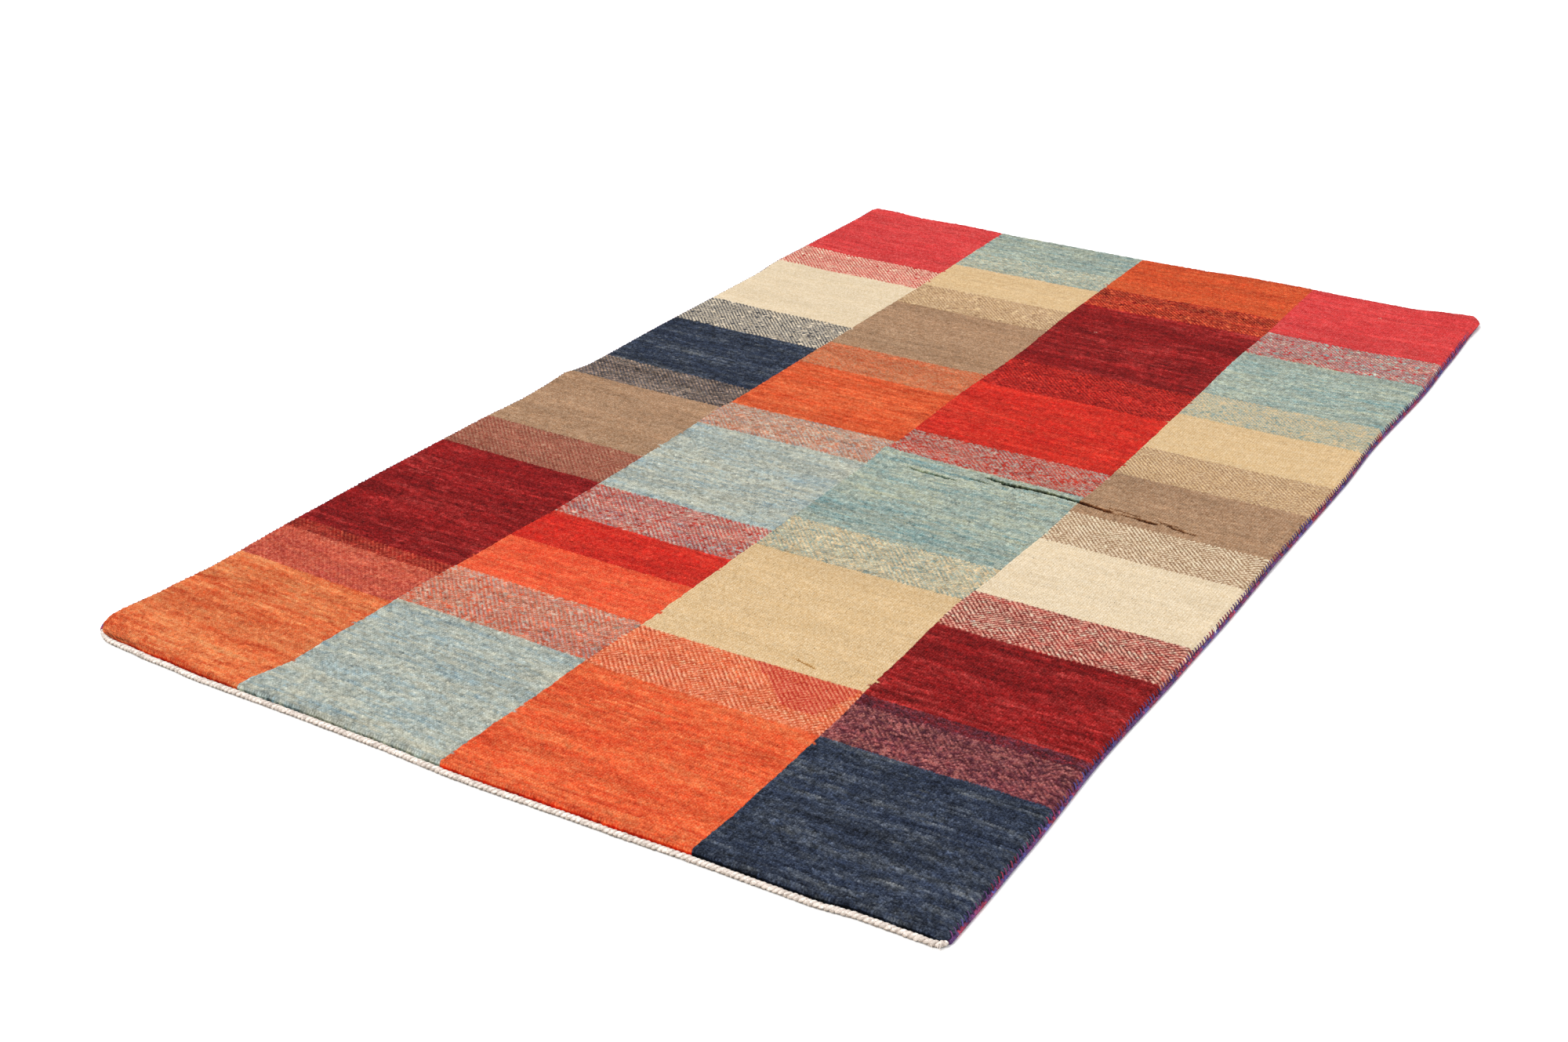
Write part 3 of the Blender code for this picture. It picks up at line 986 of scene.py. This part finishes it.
def outline_route(first, last, radius, step):
    """An even route round the field's edge, between two places of its four sides.

    A place counts the sides from the near left corner, anticlockwise: 0.5 is the
    middle of the near end, 1.5 the middle of the right side.
    """
    turn = np.linspace(first, last, ROUTE_POINTS)
    side = np.floor(turn).astype(int) % 4
    share = turn - np.floor(turn)
    none, full = np.zeros(ROUTE_POINTS), np.ones(ROUTE_POINTS)
    across = np.choose(side, (share, full, 1 - share, none))
    along = np.choose(side, (none, share, full, 1 - share))
    x, y = field_point(across, along)
    tangent = np.stack((np.gradient(x), np.gradient(y)), 1)
    kernel = np.hanning(ROUTE_WINDOW)
    kernel /= kernel.sum()
    padded = np.pad(tangent, ((ROUTE_WINDOW // 2,) * 2, (0, 0)), "edge")
    tangent = np.stack([np.convolve(padded[:, k], kernel, "valid") for k in range(2)], 1)
    tangent /= np.linalg.norm(tangent, axis=1, keepdims=True)
    away = radius + GAP
    px = x + tangent[:, 1] * away
    py = y - tangent[:, 0] * away
    pz = lift(x, y) + radius
    points = np.stack((px, py, pz), 1)
    gone = np.concatenate(((0,), np.cumsum(np.linalg.norm(np.diff(points, axis=0), axis=1))))
    places = np.linspace(0, gone[-1], max(2, round(gone[-1] / step)) + 1)
    even = np.stack([np.interp(places, gone, points[:, k]) for k in range(3)], 1)
    return even, places


def directions(route):
    """Tangent, outward and upward directions along a route."""
    tangent = np.gradient(route, axis=0)
    tangent /= np.linalg.norm(tangent, axis=1, keepdims=True)
    outward = np.cross(tangent, (0.0, 0.0, 1.0))
    outward /= np.linalg.norm(outward, axis=1, keepdims=True)
    return tangent, outward, np.cross(outward, tangent)


def add_tube(form, route, radii, colours, map_box, map_runs):
    """A closed tube with radii by ring and side, and one colour or one by ring and side.

    It lies in the given box of its map as several runs, one above the other.
    """
    tangent, outward, upward = directions(route)
    count, sides = radii.shape
    turn = np.arange(sides) / sides * 2 * math.pi
    radial = outward[:, None] * np.cos(turn)[:, None] + upward[:, None] * np.sin(turn)[:, None]
    rings = route[:, None] + radial * radii[..., None]
    start = form.add_points(rings)
    ring, side = (a.ravel() for a in np.indices((count - 1, sides)))
    steps = ((0, 0), (1, 0), (1, 1), (0, 1))
    faces = start + np.stack([(ring + a) * sides + (side + b) % sides for a, b in steps], 1)
    left, base, width, height = map_box
    per_run = math.ceil((count - 1) / map_runs)
    run = ring // per_run
    run_height = height / map_runs

    def place(ring_place, side_place):
        u = left + width * inset((ring_place - run * per_run) / per_run, TUBE_MARGIN)
        v = base + (run + inset(side_place / sides, TUBE_SEAM)) * run_height
        return np.stack((u, v), -1)

    places = np.stack([place(ring + a, side + b) for a, b in steps], 1)
    normals = radial.reshape(-1, 3)[faces - start]
    paint = colours[ring, side] if colours.ndim == 3 else np.broadcast_to(colours, (len(faces), 3))
    form.add_faces(faces, paint, places, normals)
    spread = np.stack((np.cos(turn) * width, np.sin(turn) * run_height), 1) * TUBE_CAP
    corner = spread + (left + 0.5 * width, base + 0.5 * run_height)
    ends = (
        (start + np.arange(sides), -tangent[0]),
        (start + (count - 1) * sides + np.arange(sides)[::-1], tangent[-1]),
    )
    for cap, facing in ends:
        form.add_faces([cap], paint[0], corner, facing)


# The overcast yarn's shades along the selvedges, how many turns keep one, how much it
# varies from turn to turn, and the shape of the turns
OVERCAST = (
    (146, 70, 110), (98, 88, 152), (166, 66, 92), (98, 66, 116), (126, 74, 126), (112, 86, 136),
)
OVERCAST_TURNS = (1, 4)
OVERCAST_SCATTER = 0.1
WRAP_PITCH = 0.0029
WRAP_STEP = 0.0009
WRAP_SIDES = 12
WRAP_RUNS = 12
WRAP_RIDGE = 0.0004
RIDGE_POWER = 0.7
WRAP_HALF_WIDTH = 0.0023
WRAP_HALF_HEIGHT = 0.0021

# Stitches of the same yarn, one to two rows: millimetres in from the pile's rim, and
# above the pile. Then how much their place, reach and shade vary.
STITCH_ROUTE = ((-0.8, -3), (-0.3, -1.4), (0.2, -0.3), (0.7, 0.1), (1.5, 0.1), (2.2, -0.5))
STITCH_PITCH = 2 * KNOT_LENGTH
STITCH_SLANT = 0.0014
STITCH_RADIUS = (0.0008, 0.00045)
STITCH_SIDES = 6
STITCH_SCATTER = 0.0004
STITCH_REACH = (0.7, 1.2)
STITCH_SHADE = (0.65, 1.0)
PALE_STITCH = ("selvedge_wrap_right", 94)

# The share of their map's height
STITCH_SHARE = 0.12

# The cotton's colour, then the painted shade in the groove between its plies and the
# painted shade on its underside towards the floor
COTTON = (244, 232, 222)
GROOVE_SHADE = (196, 178, 168)
UNDERSIDE_SHADE = (142, 126, 110)


def make_selvedge(name, first, last, seed, material):
    """A bundle of edge warps wrapped in wool, turn beside turn, with its stitches."""
    rng = np.random.default_rng(seed)
    away = SELVEDGE_DIAMETER - WRAP_HALF_WIDTH
    route, gone = outline_route(first, last, away, WRAP_STEP)
    route[:, 2] += WRAP_HALF_HEIGHT - away
    turn = np.arange(WRAP_SIDES)[None, :] / WRAP_SIDES
    phase = gone[:, None] / WRAP_PITCH + turn
    slant = turn * 2 * math.pi
    oval = WRAP_HALF_WIDTH * WRAP_HALF_HEIGHT / np.hypot(
        WRAP_HALF_HEIGHT * np.cos(slant), WRAP_HALF_WIDTH * np.sin(slant)
    )
    radii = oval - WRAP_RIDGE + WRAP_RIDGE * np.abs(np.sin(math.pi * phase)) ** RIDGE_POWER
    count = int(phase.max()) + 2
    shades = np.array(OVERCAST, float)
    pick = rng.integers(0, len(shades), count)
    pick = np.repeat(pick, rng.integers(*OVERCAST_TURNS, count))[:count]
    by_turn = shades[pick] * rng.normal(1, OVERCAST_SCATTER, (count, 1))
    colours = by_turn[phase.astype(int)]
    form = Form()
    add_tube(form, route, radii, colours, (0, 0, 1, 1 - STITCH_SHARE), WRAP_RUNS)

    tangent, outward, _ = directions(route)
    flare = FLARE[name.rsplit("_", 1)[1]] * MM
    stitches = round(gone[-1] / STITCH_PITCH)
    inward, above = (np.array(STITCH_ROUTE) * MM).T
    before_lean = np.maximum(0, inward) / (1 + flare / LEAN_FADE)
    height = THICKNESS - rim_fall(before_lean) + above
    share = np.linspace(0, 1, len(STITCH_ROUTE))[:, None]
    thick = STITCH_RADIUS[0] + (STITCH_RADIUS[1] - STITCH_RADIUS[0]) * share
    thick = thick + np.zeros((1, STITCH_SIDES))
    for k in range(stitches):
        astray = rng.uniform(-STITCH_SCATTER, STITCH_SCATTER)
        ring = np.searchsorted(gone, (k + 0.5) * STITCH_PITCH + astray)
        inside = inward * rng.uniform(*STITCH_REACH) - flare
        path = route[ring] - outward[ring] * (inside[:, None] + away + GAP)
        path += tangent[ring] * STITCH_SLANT * share
        path[:, 2] = lift(path[:, 0], path[:, 1]) + height
        wears = shades[rng.integers(len(shades))] * rng.uniform(*STITCH_SHADE)
        if (name, k) == PALE_STITCH:
            wears = np.array(COTTON, float)
        box = (k / stitches, 1 - STITCH_SHARE, 1 / stitches, STITCH_SHARE)
        add_tube(form, path, thick, wears, box, 1)
    return form.make(name, material)


TWIST_PITCH = 0.0088
TWIST_STEP = 0.0008
PLY_RADIUS = 0.00185
PLY_SIDES = 9

# How uneven the twist and the plies are: how far a turn strays, in radians, how much a
# ply swells, and how its shade varies in patches and from point to point
TURN_STRAY = 0.9
PLY_SWELL = 0.2
PATCH_SHADE = 26
POINT_SHADE = 12

# How fast the painted shade darkens a ply towards the floor, and how fast painted shade
# darkens it into the groove beside the other ply
UNDERSIDE_SHADE_POWER = 2.2
GROOVE_SHADE_GAIN = 2.2

# Each ply's share of its map's height, and its runs there
PLY_BAND = 0.48
PLY_RUNS = 8

# Loose threads on the near twist: how far from its right end, how many, how long
FRAYS = ((0.004, 12, 0.005), (0.012, 2, 0.005), (0.21, 1, 0.004), (0.47, 1, 0.004), (0.7, 1, 0.004))
THREAD_RADIUS = 0.00022
THREAD_POINTS = 6
THREAD_SIDES = 4
THREAD_RISE = (0.1, 1.3)
THREAD_SWING = (-0.8, 0.8)
THREAD_REACH = (0.6, 1.1)
THREAD_ROOT = 0.8
THREAD_DROOP = 0.7
THREAD_BAND = (0.96, 0.04)


def make_twist(name, first, last, seed, frays, material):
    """Two plies of white cotton twisted round each other, with loose threads."""
    rng = np.random.default_rng(seed)
    radius = END_CORD_DIAMETER / 2
    route, gone = outline_route(first, last, radius, TWIST_STEP)
    tangent, outward, upward = directions(route)
    offset = radius - PLY_RADIUS
    form = Form()
    size = (len(gone), PLY_SIDES)
    around = np.arange(PLY_SIDES) / PLY_SIDES * 2 * math.pi
    stray = cell_noise(rng, len(gone), 1, 14, 1)[:, 0] * TURN_STRAY
    for strand in range(2):
        turn = gone / TWIST_PITCH * 2 * math.pi + strand * math.pi + stray
        centre = route + offset * (outward * np.cos(turn)[:, None] + upward * np.sin(turn)[:, None])
        swell = 1 + cell_noise(rng, *size, 2.3, 2) * PLY_SWELL
        width = offset * np.cos(turn)[:, None] + PLY_RADIUS * np.cos(around)[None, :]
        height = offset * np.sin(turn)[:, None] + PLY_RADIUS * np.sin(around)[None, :]
        # Painted shade: the plies darken towards the floor and in the groove between them
        shade_below = np.clip(0.5 - 0.5 * height / radius, 0, 1)[..., None] ** UNDERSIDE_SHADE_POWER
        shade_in_groove = (1 - np.hypot(width, height) / radius) * GROOVE_SHADE_GAIN
        shade_in_groove = np.clip(shade_in_groove, 0, 1)[..., None]
        tone = cell_noise(rng, *size, 3, 2)[..., None] * PATCH_SHADE
        tone = tone + rng.normal(0, POINT_SHADE, (*size, 1))
        colours = np.array(COTTON, float) * (1 - shade_in_groove) + np.array(GROOVE_SHADE, float) * shade_in_groove
        colours = colours * (1 - shade_below) + np.array(UNDERSIDE_SHADE, float) * shade_below + tone
        box = (0, PLY_BAND * strand, 1, PLY_BAND)
        add_tube(form, centre, PLY_RADIUS * swell, colours, box, PLY_RUNS)

    total = sum(number for _, number, _ in frays)
    thread = 0
    share = np.linspace(0, 1, THREAD_POINTS)[:, None]
    thick = np.full((THREAD_POINTS, THREAD_SIDES), THREAD_RADIUS)
    for away, number, length in frays:
        ring = np.searchsorted(gone, gone[-1] - away)
        for _ in range(number):
            rise, swing = rng.uniform(*THREAD_RISE), rng.uniform(*THREAD_SWING)
            level = outward[ring] * math.cos(swing) + tangent[ring] * math.sin(swing)
            toward = math.cos(rise) * level + math.sin(rise) * upward[ring]
            out = length * rng.uniform(*THREAD_REACH)
            path = route[ring] + toward * radius * THREAD_ROOT + toward * out * share
            path[:, 2] -= (THREAD_DROOP * out * share ** 2)[:, 0]
            path[:, 2] = np.maximum(path[:, 2], THREAD_RADIUS)
            box = (thread / total, THREAD_BAND[0], 1 / total, THREAD_BAND[1])
            add_tube(form, path, thick, np.array(COTTON, float), box, 1)
            thread += 1
    return form.make(name, material)


# The pieces round the edge: name, where each starts and ends on the outline's route,
# and its seed
SELVEDGES = (
    ("selvedge_wrap_right", 1.0035, 1.9995, 31),
    ("selvedge_wrap_left", 3.0005, 3.992, 37),
)
TWISTS = (
    ("end_twist_near", -0.0065, 1.0028, 41, FRAYS),
    ("end_twist_far", 2.0, 3.0, 43, ()),
)


def node_of(tree, kind, **inputs):
    """A shader node with some of its inputs set."""
    node = tree.nodes.new(kind)
    for name, value in inputs.items():
        node.inputs[name].default_value = value
    return node


def map_range(tree, source, from_range, to_range):
    """The output of a node that maps one range to another."""
    node = tree.nodes.new("ShaderNodeMapRange")
    node.inputs["From Min"].default_value, node.inputs["From Max"].default_value = from_range
    node.inputs["To Min"].default_value, node.inputs["To Max"].default_value = to_range
    tree.links.new(source, node.inputs["Value"])
    return node.outputs["Result"]


def combine(tree, operation, first, second):
    """The output of a maths node that combines two others."""
    node = tree.nodes.new("ShaderNodeMath")
    node.operation = operation
    tree.links.new(first, node.inputs[0])
    tree.links.new(second, node.inputs[1])
    return node.outputs[0]


def wool_material(name, roughness, sheen, fibre_scale, fibre_relief, tuft_relief=None):
    """Wool or cotton whose colour is in the attribute wool, with fibres and relief; with a tuft
    relief also painted shade and a painted highlight.
    """
    material = bpy.data.materials.new(name)
    material.use_nodes = True
    tree = material.node_tree
    shader = tree.nodes["Principled BSDF"]
    gloss = {
        "Roughness": roughness, "Specular IOR Level": WOOL_SPECULAR,
        "Sheen Weight": sheen, "Sheen Roughness": SHEEN_ROUGHNESS,
    }
    for name_of_input, value in gloss.items():
        shader.inputs[name_of_input].default_value = value
    wool = tree.nodes.new("ShaderNodeAttribute")
    wool.attribute_name = "wool"
    place = tree.nodes.new("ShaderNodeTexCoord")

    fibres = node_of(
        tree, "ShaderNodeTexNoise",
        Scale=fibre_scale, Detail=FIBRE_DETAIL, Roughness=FIBRE_ROUGHNESS,
    )
    stretch = node_of(tree, "ShaderNodeMapping", Scale=FIBRE_STRETCH)
    tree.links.new(place.outputs["Object"], stretch.inputs["Vector"])
    tree.links.new(stretch.outputs["Vector"], fibres.inputs["Vector"])
    depth = map_range(tree, fibres.outputs["Fac"], FIBRE_RANGE, FIBRE_GAMMA)
    grain = node_of(tree, "ShaderNodeBump", Strength=FIBRE_STRENGTH, Distance=fibre_relief)
    tree.links.new(fibres.outputs["Fac"], grain.inputs["Height"])
    normal = grain.outputs["Normal"]
    if tuft_relief:
        # The attribute tuft is 1 at tips, 0 between tufts, and down to -2 in the depth. Besides the
        # bump it sets painted shade, a gamma that darkens the colour towards the depth, and a
        # painted highlight that lightens the tips
        tuft = tree.nodes.new("ShaderNodeAttribute")
        tuft.attribute_name = "tuft"
        foot = map_range(tree, tuft.outputs["Fac"], (-2.0, 0.0), FOOT_SHADE_GAMMA)
        tip = map_range(tree, tuft.outputs["Fac"], (0.0, 1.0), (0.0, TIP_HIGHLIGHT_GAMMA))
        depth = combine(tree, "MULTIPLY", depth, combine(tree, "ADD", foot, tip))
        relief = node_of(tree, "ShaderNodeBump", Strength=1.0, Distance=tuft_relief)
        tree.links.new(tuft.outputs["Fac"], relief.inputs["Height"])
        tree.links.new(normal, relief.inputs["Normal"])
        normal = relief.outputs["Normal"]
    deepen = tree.nodes.new("ShaderNodeGamma")
    tree.links.new(wool.outputs["Color"], deepen.inputs["Color"])
    tree.links.new(depth, deepen.inputs["Gamma"])
    tree.links.new(deepen.outputs["Color"], shader.inputs["Base Color"])
    tree.links.new(normal, shader.inputs["Normal"])
    return material


def make_camera():
    """The photograph's camera."""
    azimuth, elevation, roll = CAMERA_AZIMUTH, CAMERA_ELEVATION, CAMERA_ROLL
    forward = Vector(
        (
            -math.sin(azimuth) * math.cos(elevation),
            math.cos(azimuth) * math.cos(elevation),
            -math.sin(elevation),
        )
    )
    right = forward.cross(Vector((0, 0, 1))).normalized()
    up = right.cross(forward)
    turned_right = math.cos(roll) * right + math.sin(roll) * up
    turned_up = -math.sin(roll) * right + math.cos(roll) * up
    data = bpy.data.cameras.new("camera")
    data.sensor_width = SENSOR_WIDTH
    data.lens = FOCAL_PIXELS / IMAGE_WIDTH * SENSOR_WIDTH
    data.clip_start, data.clip_end = 0.05, 100.0
    camera = bpy.data.objects.new("camera", data)
    turn = Matrix((turned_right, turned_up, -forward)).transposed()
    camera.matrix_world = Matrix.Translation(CAMERA_PLACE) @ turn.to_4x4()
    bpy.context.scene.collection.objects.link(camera)
    bpy.context.scene.camera = camera


def make_light():
    """A white room with one large soft lamp, and the white floor under the rug."""
    scene = bpy.context.scene
    world = bpy.data.worlds.new("studio")
    scene.world = world
    world.use_nodes = True
    background = world.node_tree.nodes["Background"]
    background.inputs["Color"].default_value = (1.0, 1.0, 1.0, 1.0)
    background.inputs["Strength"].default_value = 1.0
    data = bpy.data.lights.new("key", "SUN")
    data.energy = LAMP_STRENGTH
    data.angle = LAMP_ANGLE
    key = bpy.data.objects.new("key", data)
    key.rotation_euler = LAMP_TURN
    scene.collection.objects.link(key)
    scene.view_settings.view_transform = "Standard"
    scene.view_settings.look = "None"

    mesh = bpy.data.meshes.new("floor")
    corners = [(FLOOR_HALF * a, FLOOR_HALF * b, 0) for a, b in ((-1, -1), (1, -1), (1, 1), (-1, 1))]
    mesh.from_pydata(corners, [], [(0, 1, 2, 3)])
    floor = bpy.data.objects.new("floor", mesh)
    floor.location.z = -FLOOR_DROP
    white = bpy.data.materials.new("floor")
    white.use_nodes = True
    shader = white.node_tree.nodes["Principled BSDF"]
    shader.inputs["Base Color"].default_value = FLOOR_COLOUR
    shader.inputs["Roughness"].default_value = FLOOR_ROUGHNESS
    mesh.materials.append(white)
    scene.collection.objects.link(floor)


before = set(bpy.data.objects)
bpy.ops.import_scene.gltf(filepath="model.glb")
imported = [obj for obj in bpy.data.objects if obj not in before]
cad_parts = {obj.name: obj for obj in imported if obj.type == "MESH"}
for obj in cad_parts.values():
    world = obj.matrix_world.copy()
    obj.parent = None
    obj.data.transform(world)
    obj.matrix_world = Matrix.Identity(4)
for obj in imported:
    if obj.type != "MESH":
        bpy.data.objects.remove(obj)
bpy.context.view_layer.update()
make_camera()
make_light()

pile_wool, back_wool, wrap_wool, cotton = (
    wool_material(name, *finish) for name, finish in FINISHES.items()
)

lattice_x, lattice_y = knot_lattice()
ground = lift(lattice_x, lattice_y)
colours = knot_colours()
pile = make_pile(lattice_x, lattice_y, ground, colours, pile_wool)
foundation = make_foundation(lattice_x, lattice_y, ground, colours, back_wool)

wraps = [make_selvedge(*row, wrap_wool) for row in SELVEDGES]
twists = [make_twist(*row, cotton) for row in TWISTS]

dressing = [(piece, "field", "wool_pile") for piece in (foundation, *pile)]
dressing += [
    (wraps[0], "selvedge_right", "overcast_wool"),
    (wraps[1], "selvedge_left", "overcast_wool"),
    (twists[0], "end_cord_near", "white_cotton"),
    (twists[1], "end_cord_far", "white_cotton"),
]
for piece, node, slot in dressing:
    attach(piece, "root")
    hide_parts(node)
